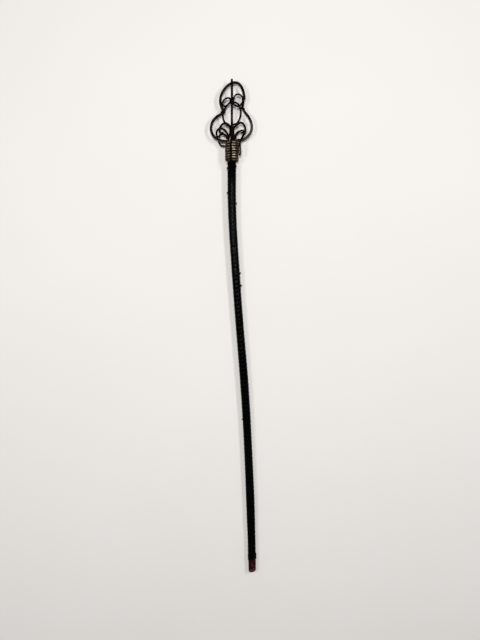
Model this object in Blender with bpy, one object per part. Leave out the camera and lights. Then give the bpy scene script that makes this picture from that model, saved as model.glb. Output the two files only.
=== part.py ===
"""Ritual staff lying down: an openwork head of bent iron wire, a collar of binding wire, a taped pole.

Axes while building, in millimetres: x across the staff, y along it with the head at +y, z up.
y = 0 is the collar's front top edge. The staff rests on a flat under the collar and one at the foot.
"""
import math

import bpy
import numpy as np

for leftover in list(bpy.data.objects):
    bpy.data.objects.remove(leftover, do_unlink=True)

# Driving sizes, millimetres
STAFF_LENGTH = 1196.5
HEAD_HEIGHT = 152.5
HEAD_WIDTH = 104.5
COLLAR_LENGTH = 47.5
COLLAR_R = 16.8
POLE_R = 8.5
COVER_R = 9.9
BARE_FOOT = 29.5
BEND_OFFSET = 49.1
BEND_START = 70.0
BEND_POWER = 0.8
REST_DEPTH = 0.6
REST_LENGTH = 95.0

# Wire radii, millimetres
COIL_R = 2.6
COIL_SPACE = 0.72
LOOP_R = 3.0
LEAF_R = 1.9
SPINE_R = 2.3
CURL_R = 1.85
ARCH_R = 2.2
SIDE_LOOP_R = 1.8
HOOK_R = 2.05
SCROLL_R = 2.3
PIN_TAPER = 0.65
TIE_R = 0.6
TIE_LENGTH = 5.0
GAP = 0.5
LEG_LEAD = 2.0
LOOP_LEG_LEAD = 5.0

# Sizes that follow from the ones above
POLE_LENGTH = STAFF_LENGTH - HEAD_HEIGHT - COLLAR_LENGTH
COIL_PITCH = 2 * COIL_R + COIL_SPACE
COIL_TURNS = round((COLLAR_LENGTH - 2 * COIL_R) / COIL_PITCH) + 0.7
BORE_R = COLLAR_R - 2 * COIL_R
LEG_RING = BORE_R - GAP - LOOP_R
TENON_R = LEG_RING - LOOP_R - GAP
LEG_DEPTH = COLLAR_LENGTH * 0.62
COVER_TOP = COLLAR_LENGTH - 6.0
AXIS_Z = COLLAR_R - REST_DEPTH
FOOT_Z = COVER_R - REST_DEPTH
COVER_BORE = POLE_R + 0.3
COVER_LENGTH = POLE_LENGTH + COLLAR_LENGTH - BARE_FOOT - COVER_TOP
FOOT_Y = -(COLLAR_LENGTH + POLE_LENGTH)

# Heights of the wires above the collar's axis: front, middle and back layers
FRONT = LOOP_R + GAP + SPINE_R
MIDDLE = FRONT - SPINE_R - GAP - LEAF_R
BACK = -(LOOP_R + GAP + SIDE_LOOP_R)
WAIST = MIDDLE - LEAF_R - GAP - LOOP_R


def smooth_path(points, step=0.4):
    """A cubic through the points; at each point it runs along the line between the two neighbours."""
    p = np.asarray(points, float)
    d = np.maximum(np.linalg.norm(np.diff(p, axis=0), axis=1), 1e-9) ** 0.5
    t = np.concatenate([[0], np.cumsum(d)])
    m = np.gradient(p, t, axis=0, edge_order=1)
    out = []
    for i in range(len(p) - 1):
        n = max(2, int(np.linalg.norm(p[i + 1] - p[i]) / step))
        u = np.linspace(0, 1, n, endpoint=False)[:, None]
        h = t[i + 1] - t[i]
        a = (2 * u ** 3 - 3 * u ** 2 + 1) * p[i] + (u ** 3 - 2 * u ** 2 + u) * h * m[i]
        b = (-2 * u ** 3 + 3 * u ** 2) * p[i + 1] + (u ** 3 - u ** 2) * h * m[i + 1]
        out.append(a + b)
    return np.concatenate(out + [p[-1:]])


def thin_out(path, angle=25.5, length=24.0):
    """Stations along a fine path, close together where it bends and far apart where it runs straight."""
    d = np.diff(path, axis=0)
    seg = np.linalg.norm(d, axis=1)
    t = d / seg[:, None]
    turn = np.degrees(np.arccos(np.clip((t[1:] * t[:-1]).sum(1), -1, 1)))
    measure = np.concatenate([[0], np.cumsum(seg / length + np.append(turn, 0) / angle)])
    n = int(math.ceil(measure[-1])) + 1
    s = np.linspace(0, measure[-1], n)
    return np.stack([np.interp(s, measure, path[:, k]) for k in range(3)], axis=1)


def sweep(path, radius, sides, start=(0.0, 0.0, 1.0)):
    """Rings of vertices round a path; each ring is carried on from the last without twist."""
    path = np.asarray(path, float)
    t = np.gradient(path, axis=0)
    t /= np.linalg.norm(t, axis=1)[:, None]
    side = np.asarray(start, float)
    radius = np.broadcast_to(radius, len(path))
    turn = (np.arange(sides) + 0.5) * 2 * np.pi / sides
    rings = []
    for p, along, r in zip(path, t, radius):
        side = side - along * np.dot(side, along)
        side = side / np.linalg.norm(side)
        other = np.cross(along, side)
        rings.append(p + r * (np.cos(turn)[:, None] * side + np.sin(turn)[:, None] * other))
    return np.array(rings)


def bands(first, second, sides):
    """Quads between two rings, given the number of each ring's first vertex."""
    k = np.arange(sides)
    n = (k + 1) % sides
    return np.stack([first + k, first + n, second + n, second + k], axis=1).tolist()


def make_solid(name, verts, faces, material):
    """One closed mesh object, millimetres in and metres out, with its faces turned outwards."""
    mesh = bpy.data.meshes.new(name)
    mesh.from_pydata((np.asarray(verts) * 0.001).tolist(), [], faces)
    mesh.validate()
    mesh.update()
    volume = 0.0
    for face in mesh.polygons:
        corners = [mesh.vertices[i].co for i in face.vertices]
        for i in range(1, len(corners) - 1):
            volume += corners[0].dot(corners[i].cross(corners[i + 1]))
    if volume < 0:
        mesh.flip_normals()
    mesh.shade_smooth()
    mesh.materials.append(material)
    made = bpy.data.objects.new(name, mesh)
    bpy.context.scene.collection.objects.link(made)
    return made


def make_rod(name, rings, material):
    """A solid rod from rings, closed by a flat face at each end."""
    count, sides = rings.shape[:2]
    faces = []
    for i in range(count - 1):
        faces += bands(i * sides, (i + 1) * sides, sides)
    faces.append(list(range(sides))[::-1])
    faces.append([(count - 1) * sides + k for k in range(sides)])
    return make_solid(name, rings.reshape(-1, 3), faces, material)


def make_wire(name, points, radius, material, sides=8, taper=1.0, blunt=True):
    """A round wire through hand-placed points, its ends slightly blunted; a taper is in the last third."""
    path = thin_out(smooth_path(points))
    run = np.concatenate([[0], np.cumsum(np.linalg.norm(np.diff(path, axis=0), axis=1))])
    radii = radius * (1 + (taper - 1) * np.clip((run / run[-1] - 0.52) / 0.16, 0, 1))
    if blunt:
        inset = 0.5 * radius
        for end in (0, -1):
            inner = path[1] if end == 0 else path[-2]
            way = (inner - path[end]) / np.linalg.norm(inner - path[end])
            extra = path[end] + way * inset
            if end == 0:
                path = np.concatenate([path[:1], [extra], path[1:]])
                radii = np.concatenate([[radii[0] * 0.65], [radii[0]], radii[1:]])
            else:
                path = np.concatenate([path[:-1], [extra], path[-1:]])
                radii = np.concatenate([radii[:-1], [radii[-1]], [radii[-1] * 0.65]])
    path[:, 2] += AXIS_Z
    return make_rod(name, sweep(path, radii, sides), material)


def principled(name, colour, metallic, roughness):
    """A plain material for one real piece."""
    material = bpy.data.materials.new(name)
    material.use_nodes = True
    shader = material.node_tree.nodes["Principled BSDF"]
    shader.inputs["Base Color"].default_value = (*colour, 1)
    shader.inputs["Metallic"].default_value = metallic
    shader.inputs["Roughness"].default_value = roughness
    material.diffuse_color = (*colour, 1)
    return material


# Places in the head are given as shares of its width and height, in percent, and a height in mm
def place(points):
    """Head points from (share of width, share of height, z) to millimetres."""
    p = np.asarray(points, float)
    return p * np.array([HEAD_WIDTH / 100, HEAD_HEIGHT / 100, 1.0])


def leg(angle, lead=LEG_LEAD):
    """The straight end of a wire inside the collar, at an angle round the ring of legs."""
    x = LEG_RING * math.cos(math.radians(angle))
    z = LEG_RING * math.sin(math.radians(angle))
    return np.array([[x, -lead, z], [x, -LEG_DEPTH, z]])


def coil_top(turned):
    """Height of the binding wire's upper edge after a number of turns from its start at the back."""
    return COIL_PITCH * (0.5 - turned)


def over_the_edge(side, turned):
    """A loop wire's last bend: over the collar's top turn and down inside, at the left or right."""
    rise = coil_top(turned) + GAP + LOOP_R
    x = side * (COLLAR_R - COIL_R)
    mid = side * (LEG_RING + BORE_R) / 2
    return np.array([[x, rise + 0.2, 0.0], [mid, rise - LOOP_R * 0.55 - 0.1, 0.0]])


# The pole and what covers it: straight below the collar, then drifting sideways along an S
# Small waves of its centre line: share of the taped length, millimetres sideways
BEND_WAVES = np.array([
    (0.0, 0.0), (0.10, 0.0), (0.14, -0.5), (0.19, -0.5), (0.31, -0.4), (0.36, -0.85), (0.44, -0.6),
    (0.49, -0.2), (0.53, 0.2), (0.61, 0.2), (0.66, -0.2), (0.72, -0.6), (0.79, -1.0), (0.86, -0.95),
    (0.91, -0.8), (0.95, -0.2), (1.0, -0.2),
])


def bend(y):
    """Sideways drift of the pole at a distance y below the collar's top."""
    u = np.clip((-y - COLLAR_LENGTH - BEND_START) / (POLE_LENGTH - BEND_START), 0, 1) ** BEND_POWER
    share = (-y - COVER_TOP) / COVER_LENGTH
    waves = sum(np.interp(share + k, BEND_WAVES[:, 0], BEND_WAVES[:, 1]) for k in (-0.02, 0, 0.02)) / 3
    return BEND_OFFSET * u * u * (3 - 2 * u) + waves


def pole_axis(y):
    """Centre line of the pole: level in the collar, then down to the height of its foot."""
    run = POLE_LENGTH - REST_LENGTH
    down = np.clip((-y - COLLAR_LENGTH) / run, 0, 1)
    return np.stack([bend(y), y, AXIS_Z + (FOOT_Z - AXIS_Z) * down], axis=1)


def even_stations(top, bottom, count):
    """Distances along the pole, shared by the rod and its covering so that their facets agree."""
    return np.linspace(top, bottom, count)


POLE_SIDES = 18
COVER_END = -(COVER_TOP + COVER_LENGTH)
REST_START = FOOT_Y + REST_LENGTH
stations = np.concatenate([
    even_stations(-COVER_TOP, -COLLAR_LENGTH - BEND_START, 3),
    even_stations(-COLLAR_LENGTH - BEND_START, REST_START, 21)[1:],
    even_stations(REST_START, COVER_END, 5)[1:],
])

# Swells of the covering: share of its length, millimetres on the radius
COVER_SWELL = np.array([
    (0.0, 0.55), (0.06, 0.35), (0.12, 0.20), (0.145, 0.15), (0.165, -0.10), (0.21, 0.0),
    (0.245, -0.15), (0.285, 0.10), (0.31, -0.15), (0.34, -0.25), (0.44, -0.20), (0.47, 0.0),
    (0.53, 0.15), (0.565, 0.35), (0.60, 0.10), (0.64, 0.30), (0.665, 0.0), (0.70, -0.05),
    (0.75, 0.0), (0.80, 0.05), (0.84, 0.35), (0.87, 0.25), (0.91, 0.0), (0.935, -0.45), (1.0, -0.45),
])


def cover_radius(y):
    """Outer radius of the covering at a distance y."""
    share = (-y - COVER_TOP) / COVER_LENGTH
    return COVER_R + np.interp(share, COVER_SWELL[:, 0], COVER_SWELL[:, 1])


def pressed(rings):
    """Rings with everything under the floor lifted to it: the small flats the staff lies on."""
    rings = rings.copy()
    rings[..., 2] = np.maximum(rings[..., 2], 0.0)
    return rings


# Materials
dark_iron = principled("dark_iron", (0.030, 0.025, 0.020), 0.75, 0.55)
binding = principled("binding_wire", (0.16, 0.10, 0.055), 0.70, 0.50)
tape = principled("black_tape", (0.010, 0.010, 0.012), 0.0, 0.55)
wood = principled("red_wood", (0.085, 0.022, 0.014), 0.0, 0.50)
tie_iron = principled("tie_wire", (0.025, 0.020, 0.016), 0.70, 0.60)

# Pole: a tenon between the wires' legs, a shoulder, the rod, and a worn round edge at the foot
shoulder = -COLLAR_LENGTH * 0.74
rod_y = np.concatenate([
    [-4.0, shoulder, shoulder - 3.0], stations, [FOOT_Y + 7.0, FOOT_Y + 1.6, FOOT_Y]])
rod_r = np.concatenate([
    [TENON_R, TENON_R, POLE_R], np.full(len(stations), POLE_R), [POLE_R, POLE_R - 0.3, POLE_R - 1.4]])
rod = make_rod("wooden_pole", sweep(pole_axis(rod_y), rod_r, POLE_SIDES), wood)

# Covering: a tube round the pole, ending in the collar above and short of the foot below
outer = pressed(sweep(pole_axis(stations), cover_radius(stations), POLE_SIDES))
inner = sweep(pole_axis(stations), np.full(len(stations), COVER_BORE), POLE_SIDES)
tube_faces = []
total = len(stations) * POLE_SIDES
for row in range(len(stations) - 1):
    tube_faces += bands(row * POLE_SIDES, (row + 1) * POLE_SIDES, POLE_SIDES)
    tube_faces += [q[::-1] for q in bands(
        total + row * POLE_SIDES, total + (row + 1) * POLE_SIDES, POLE_SIDES)]
tube_faces += bands(total, 0, POLE_SIDES)
tube_faces += bands(total - POLE_SIDES, 2 * total - POLE_SIDES, POLE_SIDES)
tube_verts = np.concatenate([outer.reshape(-1, 3), inner.reshape(-1, 3)])
covering = make_solid("black_tape_covering", tube_verts, tube_faces, tape)

# Collar: one wire wound in close turns, both ends at the back
COIL_STEPS = 18
steps = int(round(COIL_TURNS * COIL_STEPS))
turned = np.arange(steps + 1) / COIL_STEPS
round_angle = np.radians(-90 - 180 / COIL_STEPS) + turned * 2 * np.pi
coil_ring = COLLAR_R - COIL_R
coil_path = np.stack([
    coil_ring * np.cos(round_angle),
    -COIL_R + COIL_PITCH * (0.5 - turned),
    AXIS_Z + coil_ring * np.sin(round_angle)], axis=1)
collar = make_rod(
    "binding_wire_collar", pressed(sweep(coil_path, COIL_R, 8, start=(0, 1, 0))), binding)

# Outer loop: left lobe, waist, pointed arch over the top, down to a loose end on the right
outer_points = place([
    (-23.8, 2.4, 0), (-34.5, 5.2, 0), (-44.7, 12.4, 0), (-48.6, 21.0, 0), (-45.5, 31.5, 0),
    (-35.6, 40.2, 0), (-25.0, 45.9, WAIST * 0.7), (-22.0, 49.0, WAIST), (-21.6, 52.2, WAIST),
    (-23.1, 56.0, WAIST), (-26.1, 60.8, WAIST * 0.5), (-26.4, 70.9, 0), (-19.2, 82.5, 0), (-7.8, 91.1, 0),
    (2.7, 94.7, 0), (14.3, 93.9, 0), (23.7, 86.4, 0), (28.2, 75.5, 0), (29.0, 67.1, 0)])
left_edge = over_the_edge(-1, 0.75)
outer_path = np.concatenate([leg(180, LOOP_LEG_LEAD)[::-1], left_edge[::-1], outer_points])
make_wire("outer_loop_wire", outer_path, LOOP_R, dark_iron)

# Right lower lobe: starts beside the loose end, behind it, and runs down to the collar
right_points = place([
    (25.0, 71.1, WAIST - GAP), (25.0, 63.6, WAIST), (23.5, 55.4, WAIST), (29.8, 48.2, WAIST * 0.6),
    (39.9, 38.0, 0), (45.8, 26.8, 0), (44.7, 17.8, 0), (36.9, 9.5, 0), (25.5, 3.9, 0)])
right_edge = over_the_edge(1, 0.25)
right_path = np.concatenate([right_points, right_edge, leg(0, LOOP_LEG_LEAD)])
make_wire("outer_loop_right_lower", right_path, LOOP_R, dark_iron)

# Spine: straight up the middle in front, hooked over the collar's edge, down its front as a bar
bar_z = COLLAR_R + GAP + SPINE_R
spine_foot = np.array([
    (0, 10.0, FRONT), (0, 6.0, FRONT + 0.8), (-0.6, 3.6, FRONT + 4.3), (-1.4, 2.9, FRONT + 9.0),
    (-1.9, 1.2, bar_z - 1.2), (-2.0, -2.2, bar_z), (-2.0, -COLLAR_LENGTH + 1.0, bar_z)])
spine_points = np.concatenate([place([(0, 100, FRONT), (0.2, 74, FRONT), (0, 35, FRONT)]), spine_foot])
make_wire("spine_wire", spine_points, SPINE_R, dark_iron)

# Leaf: a pointed oval behind the spine, both ends going down behind it into the collar
leaf_half = LEAF_R + GAP / 2 + 0.1
leaf_points = place([
    (-4.6, 25.6, MIDDLE), (-11.3, 27.2, MIDDLE), (-17.2, 32.0, MIDDLE), (-20.6, 40.0, MIDDLE),
    (-21.3, 47.5, MIDDLE), (-20.0, 52.3, MIDDLE), (-15.6, 55.8, MIDDLE), (-10.6, 58.8, MIDDLE),
    (-1.3, 62.9, MIDDLE), (8.7, 62.4, MIDDLE), (15.4, 59.3, MIDDLE), (19.4, 54.9, MIDDLE),
    (20.9, 48.6, MIDDLE), (19.0, 39.3, MIDDLE), (13.9, 31.9, MIDDLE), (8.6, 28.8, MIDDLE)])
leaf_left = np.array([(-leaf_half, 33.5, MIDDLE - 1.4), (-0.6, 14.0, -1.8)])
leaf_right = np.array([
    (leaf_half + 1.2, 40.0, MIDDLE - 0.3), (leaf_half, 31.0, MIDDLE - 1.4), (leaf_half + 1.0, 14.0, -1.8)])
leaf_path = np.concatenate([
    leg(268)[::-1], leaf_left[::-1], leaf_points, leaf_right, leg(298)])
make_wire("leaf_wire", leaf_path, LEAF_R, dark_iron)

# Two curls in front of the leaf's top, one on each side of the spine
beside = (SPINE_R + GAP / 2 + CURL_R) / HEAD_WIDTH * 100
curl_right_points = place([
    (beside, 66.0, FRONT), (beside, 62.2, FRONT), (8.9, 57.0, FRONT), (15.6, 55.9, FRONT),
    (22.0, 60.6, FRONT), (23.4, 69.0, FRONT), (19.4, 74.3, FRONT), (12.5, 75.2, FRONT),
    (6.9, 72.0, FRONT), (beside + 0.3, 69.0, FRONT), (beside, 67.0, FRONT)])
make_wire("upper_curl_right", curl_right_points, CURL_R, dark_iron)
curl_left_points = place([
    (-beside, 65.2, FRONT), (-beside - 0.3, 67.2, FRONT), (-7.0, 68.8, FRONT), (-12.6, 68.1, FRONT),
    (-19.2, 64.3, FRONT), (-22.8, 59.0, FRONT), (-17.6, 55.6, FRONT), (-10.3, 58.0, FRONT),
    (-6.0, 61.2, FRONT), (-beside, 64.0, FRONT)])
make_wire("upper_curl_left", curl_left_points, CURL_R, dark_iron)

# Lower scrolls on the left: an arch in front, a long loop behind, a small hook between
arch_x = -(SPINE_R + GAP + ARCH_R) / HEAD_WIDTH * 100
arch_points = place([
    (arch_x - 2.3, 8.0, FRONT - 1.0), (arch_x + 0.4, 16.0, FRONT - 2.0), (arch_x - 0.5, 23.0, FRONT - 0.8),
    (-9.8, 28.3, FRONT), (-16.8, 29.1, FRONT), (-24.4, 25.3, FRONT), (-28.6, 18.9, FRONT),
    (-26.3, 13.8, FRONT), (-20.5, 14.1, FRONT)])
arch_path = np.concatenate([leg(137)[::-1], arch_points])
make_wire("lower_scroll_left_arch", arch_path, ARCH_R, dark_iron)
side_x = -(COLLAR_R + GAP) / HEAD_WIDTH * 100
loop_points = place([
    (-6.8, 8.0, BACK - 0.4), (-8.2, 13.6, BACK), (-14.6, 18.8, BACK), (-23.9, 23.1, BACK),
    (-32.3, 21.5, BACK), (-36.1, 15.9, BACK), (-33.9, 9.4, BACK), (-31.0, 2.7, BACK),
    (-27.6, -2.8, BACK + 0.6), (-23.0, -6.4, BACK + 1.4), (side_x, -7.0, BACK + 2.0)])
loop_path = np.concatenate([leg(224)[::-1], loop_points])
make_wire("lower_scroll_left_loop", loop_path, SIDE_LOOP_R, dark_iron)
hook_left_points = place([
    (-10.6, 4.4, MIDDLE + 1.6), (-11.5, 7.3, MIDDLE + 0.8), (-13.1, 10.0, MIDDLE), (-15.9, 12.8, MIDDLE),
    (-20.1, 14.9, MIDDLE - 0.6), (-24.5, 14.8, MIDDLE - 0.8), (-28.0, 12.6, MIDDLE - 1.0),
    (-30.6, 9.6, MIDDLE - 1.0)])
make_wire("lower_scroll_left_hook", hook_left_points, HOOK_R, dark_iron)

# Lower scrolls on the right: the long one ends in a hairpin lying against the collar's side
pin_r = SCROLL_R * PIN_TAPER
pin_z = 7.0
pin_in = math.sqrt((COLLAR_R + 0.3 + pin_r) ** 2 - pin_z ** 2)
pin_out = pin_in + 2 * pin_r + 0.4
scroll_x = (SPINE_R + GAP + SCROLL_R) / HEAD_WIDTH * 100
scroll_points = place([
    (scroll_x + 2.0, 8.0, FRONT - 1.0), (scroll_x - 0.4, 16.0, FRONT - 2.0), (6.4, 23.7, FRONT - 0.6),
    (13.2, 28.2, FRONT), (20.8, 29.7, FRONT), (27.4, 26.4, FRONT), (30.9, 20.4, FRONT),
    (28.7, 14.1, FRONT), (24.6, 8.1, FRONT), (21.4, 3.0, FRONT)])
pin_bend = np.array([
    (pin_out + 0.2, -6.0, pin_z - 0.6), (pin_out, -18.0, pin_z - 0.2), (pin_out - 0.1, -27.0, pin_z),
    ((pin_in + pin_out) / 2, -30.4, pin_z), (pin_in, -27.0, pin_z), (pin_in, -18.0, pin_z),
    (pin_in, -3.0, pin_z)])
scroll_path = np.concatenate([leg(43)[::-1], scroll_points, pin_bend])
make_wire("lower_scroll_right", scroll_path, SCROLL_R, dark_iron, taper=PIN_TAPER)
hook_right_points = place([
    (9.8, 5.4, MIDDLE + 0.2), (8.1, 9.0, MIDDLE - 0.8), (9.6, 12.8, MIDDLE - 0.9), (13.4, 15.6, MIDDLE - 0.7),
    (18.5, 17.4, MIDDLE - 0.5), (24.5, 18.6, MIDDLE - 0.3), (28.4, 17.6, MIDDLE - 0.3),
    (26.8, 14.8, MIDDLE), (21.3, 14.3, MIDDLE + 0.2)])
make_wire("lower_scroll_right_hook", hook_right_points, HOOK_R, dark_iron)


# Waist ties: thin wire wound close round the leaf and the loop where they cross, on each side
def make_tie(name, middle_y, side, wires):
    """A band round two wires: for each direction, the point that lies farthest out on any of their sections."""
    centres, sizes = [], []
    for points, radius in wires:
        path = smooth_path(points)
        slant = np.linalg.norm(np.gradient(path, axis=0), axis=1) / np.abs(np.gradient(path[:, 1]))
        near = (np.abs(path[:, 1] - middle_y) <= TIE_LENGTH / 2) & (path[:, 0] * side > 0)
        centres.append(path[near][:, [0, 2]])
        sizes.append(radius * slant[near])
    centres, sizes = np.concatenate(centres), np.concatenate(sizes)
    n = 16
    a = (np.arange(n) + 0.5) * 2 * np.pi / n
    out = np.stack([np.cos(a), np.sin(a)], axis=1)
    best = (centres @ out.T + sizes[:, None]).argmax(0)
    ring = centres[best] + (sizes[best] + GAP * 0.8 + TIE_R)[:, None] * out
    ring = np.stack([ring[:, 0], np.full(n, middle_y), ring[:, 1] + AXIS_Z], axis=1)
    closed = np.concatenate([ring[-1:], ring, ring[:1]])
    rings = sweep(closed, TIE_R, 6, start=(0, 1, 0))[1:-1]
    rings[..., 1] = middle_y + (rings[..., 1] - middle_y) * TIE_LENGTH / (2 * TIE_R * math.cos(math.pi / 6))
    faces = []
    for i in range(n):
        faces += bands(i * 6, ((i + 1) % n) * 6, 6)
    return make_solid(name, rings.reshape(-1, 3), faces, tie_iron)


make_tie("waist_tie_left", HEAD_HEIGHT * 0.503, -1, [(outer_path, LOOP_R), (leaf_path, LEAF_R)])
make_tie("waist_tie_right", HEAD_HEIGHT * 0.530, 1, [(right_path, LOOP_R), (leaf_path, LEAF_R)])

# One parent, moved so that the bottom centre of everything is the origin
pieces = [o for o in bpy.context.scene.objects if o.type == "MESH"]
corners = np.concatenate([np.array([v.co[:] for v in o.data.vertices]) for o in pieces])
staff = bpy.data.objects.new("staff", None)
bpy.context.scene.collection.objects.link(staff)
middle = (corners.min(0) + corners.max(0)) / 2
staff.location = (-middle[0], -middle[1], -corners[:, 2].min())
for piece in pieces:
    piece.parent = staff
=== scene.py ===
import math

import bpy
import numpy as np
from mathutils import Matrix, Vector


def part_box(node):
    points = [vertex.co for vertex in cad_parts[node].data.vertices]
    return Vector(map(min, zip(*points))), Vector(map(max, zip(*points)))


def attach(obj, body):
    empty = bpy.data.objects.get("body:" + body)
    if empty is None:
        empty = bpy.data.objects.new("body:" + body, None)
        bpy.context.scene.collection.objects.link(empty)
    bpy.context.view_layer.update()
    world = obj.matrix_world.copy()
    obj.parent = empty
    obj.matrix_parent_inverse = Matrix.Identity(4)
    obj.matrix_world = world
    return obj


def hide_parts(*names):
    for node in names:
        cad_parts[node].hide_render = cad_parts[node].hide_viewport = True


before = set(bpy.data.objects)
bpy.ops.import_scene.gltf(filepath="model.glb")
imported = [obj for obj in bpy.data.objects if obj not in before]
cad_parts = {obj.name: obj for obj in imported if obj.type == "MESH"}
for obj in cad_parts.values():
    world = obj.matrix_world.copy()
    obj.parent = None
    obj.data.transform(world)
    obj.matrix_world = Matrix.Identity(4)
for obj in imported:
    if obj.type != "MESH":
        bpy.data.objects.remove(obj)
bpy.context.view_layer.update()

# %% [markdown]
# # A ritual staff with a head of bent wire
#
# The staff is a long bent pole, wound with black tape, with a head of bent iron wire at its upper end.
# A collar of thick binding wire holds the wires to the pole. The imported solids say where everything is.
# This script builds the finer surfaces and the finishes round them. The solids stay hidden under them.
# The staff lies on a pale floor and the camera looks straight down on it.

# %% [markdown]
# ## Where the staff is
#
# All shapes below are worked out in millimetres from one point: the middle of the collar's upper end.
# From there x runs across the staff, y along it towards the tip of the head, and z up from the collar's axis.
# The pole's upper end stands on that axis, 4 mm inside the collar, so its vertices give the point.

# %% The point that every shape is measured from
POLE_TOP_BELOW = 4.0


def points_of(node):
    """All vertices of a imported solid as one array, in metres."""
    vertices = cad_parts[node].data.vertices
    flat = np.empty(len(vertices) * 3, np.float32)
    vertices.foreach_get("co", flat)
    return flat.reshape(-1, 3).astype(float)


pole_points = points_of("wooden_pole")
pole_top = pole_points[pole_points[:, 1] > pole_points[:, 1].max() - 1e-5]
HOME = (pole_top.min(0) + pole_top.max(0)) / 2 + np.array([0, POLE_TOP_BELOW / 1000, 0])
AXIS_Z = HOME[2] * 1000
print("home point", HOME.round(4))

# %% How far the pieces reach along the staff
# The real foot and the end of its tape lie a little lower than their solids
FOOT_LONGER = 1.7
COVER_LONGER = 1.8


def ends_of(node):
    """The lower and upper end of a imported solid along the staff, in millimetres from the home point."""
    low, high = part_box(node)
    return (low.y - HOME[1]) * 1000, (high.y - HOME[1]) * 1000


HEAD_HEIGHT = ends_of("spine_wire")[1]
FOOT_Y = ends_of("wooden_pole")[0] - FOOT_LONGER
COVER_END_Y, COVER_TOP_Y = ends_of("black_tape_covering")
COVER_END_Y -= COVER_LONGER
reach = {"head": HEAD_HEIGHT, "tape from": COVER_TOP_Y, "tape to": COVER_END_Y, "foot": FOOT_Y}
print({what: round(y, 1) for what, y in reach.items()})

# %% [markdown]
# ## Sizes of the real pieces
#
# The wires come in a few thicknesses: 6 mm rod for the outline, about 4 mm wire for the rest.
# Radii and layers are those of the solids, so that each surface lies where its solid is.
# The surfaces add a skin of scale to each wire and draw the end of the hairpin out thinner.

# %% Named sizes in millimetres
HEAD_WIDTH = 104.5
COLLAR_LENGTH = 47.5
COLLAR_R = 16.8
COIL_R = 2.6
COIL_SPACE = 0.72
LOOP_R = 3.0
LEAF_R = 1.9
SPINE_R = 2.3
CURL_R = 1.85
ARCH_R = 2.2
SIDE_LOOP_R = 1.8
HOOK_R = 2.05
SCROLL_R = 2.3
PIN_TAPER = 0.60
TIE_R = 0.6
TIE_LENGTH = 5.0
SKIN = 0.25
GAP = 0.5
POLE_R = 8.5
COVER_R = 9.9
BEND_OFFSET = 49.1
BEND_START = 70.0
BEND_POWER = 0.8
REST_LENGTH = 95.0

# %% Sizes that follow from them
COIL_PITCH = 2 * COIL_R + COIL_SPACE
COIL_TURNS = round((COLLAR_LENGTH - 2 * COIL_R) / COIL_PITCH) + 0.7
POLE_LENGTH = -FOOT_Y - COLLAR_LENGTH
BORE_R = COLLAR_R - 2 * COIL_R
LEG_RING = BORE_R - GAP - LOOP_R
TENON_R = LEG_RING - LOOP_R - GAP
LEG_DEPTH = COLLAR_LENGTH * 0.62
FOOT_Z = COVER_R - (COLLAR_R - AXIS_Z)
FRONT = LOOP_R + GAP + SPINE_R
MIDDLE = FRONT - SPINE_R - GAP - LEAF_R
BACK = -(LOOP_R + GAP + SIDE_LOOP_R)
WAIST = MIDDLE - LEAF_R - GAP - LOOP_R
print("layers of wire above the axis:", FRONT, MIDDLE, WAIST, BACK)

# %% [markdown]
# ## From arrays to meshes
#
# Every surface here is a grid: one direction runs along the piece and the other runs round it.
# Such a grid can be computed for all its points at once with numpy. The helper joins neighbours into quads,
# closes the two ends with a flat face and turns the whole surface outwards.
# The sign of the volume says which way the faces point: each quad is cut into triangles for that sum.

# %% A mesh from a grid of points


def grid_faces(rows, columns):
    """Quads of a grid that closes round on itself: corner numbers for every row and column, then two caps."""
    row, column = np.meshgrid(np.arange(rows - 1), np.arange(columns), indexing="ij")
    here = row * columns + column
    beside = row * columns + (column + 1) % columns
    quads = np.stack([here, beside, beside + columns, here + columns], axis=-1).reshape(-1, 4)
    first_cap = list(range(columns))[::-1]
    last_cap = list(range((rows - 1) * columns, rows * columns))
    return quads, first_cap, last_cap


def volume_of(points, quads):
    """Six times the enclosed volume: the sum over triangles of corner . (corner x corner)."""
    a, b, c, d = (points[quads[:, k]] for k in range(4))
    return np.einsum("ij,ij->", a, np.cross(b, c)) + np.einsum("ij,ij->", a, np.cross(c, d))


def build(name, grid, attributes=None):
    """One mesh object from a (rows, columns, 3) grid in millimetres, with numbers kept for each point."""
    rows, columns = grid.shape[:2]
    points = grid.reshape(-1, 3) * 0.001 + HOME
    points[:, 2] = np.maximum(points[:, 2], 0.0)
    quads, first_cap, last_cap = grid_faces(rows, columns)
    faces = quads.tolist() + [first_cap, last_cap]
    if volume_of(points - points.mean(0), quads) < 0:
        faces = [face[::-1] for face in faces]
    mesh = bpy.data.meshes.new(name)
    mesh.from_pydata(points.tolist(), [], faces)
    mesh.shade_smooth()
    for key, values in (attributes or {}).items():
        layer = mesh.attributes.new(key, "FLOAT", "POINT")
        layer.data.foreach_set("value", np.ascontiguousarray(values, np.float32).ravel())
    made = bpy.data.objects.new(name, mesh)
    bpy.context.scene.collection.objects.link(made)
    print(name, rows, "x", columns, "points,", 2 * rows * columns, "triangles")
    return made


def finish_piece(piece, material, node):
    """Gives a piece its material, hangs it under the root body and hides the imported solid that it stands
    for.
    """
    piece.data.materials.append(material)
    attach(piece, "root")
    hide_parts(node)
    return piece


# %% [markdown]
# ## Bending a wire
#
# A smith bends the wire by hand, so each wire is a list of a few points that it passes through.
# A cubic runs through them. At each point it heads along the line between the two neighbours,
# weighted by the square root of the spacing, which keeps tight scrolls free of loops.

# %% A smooth path through a few points
PATH_STEP = 0.4


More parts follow.
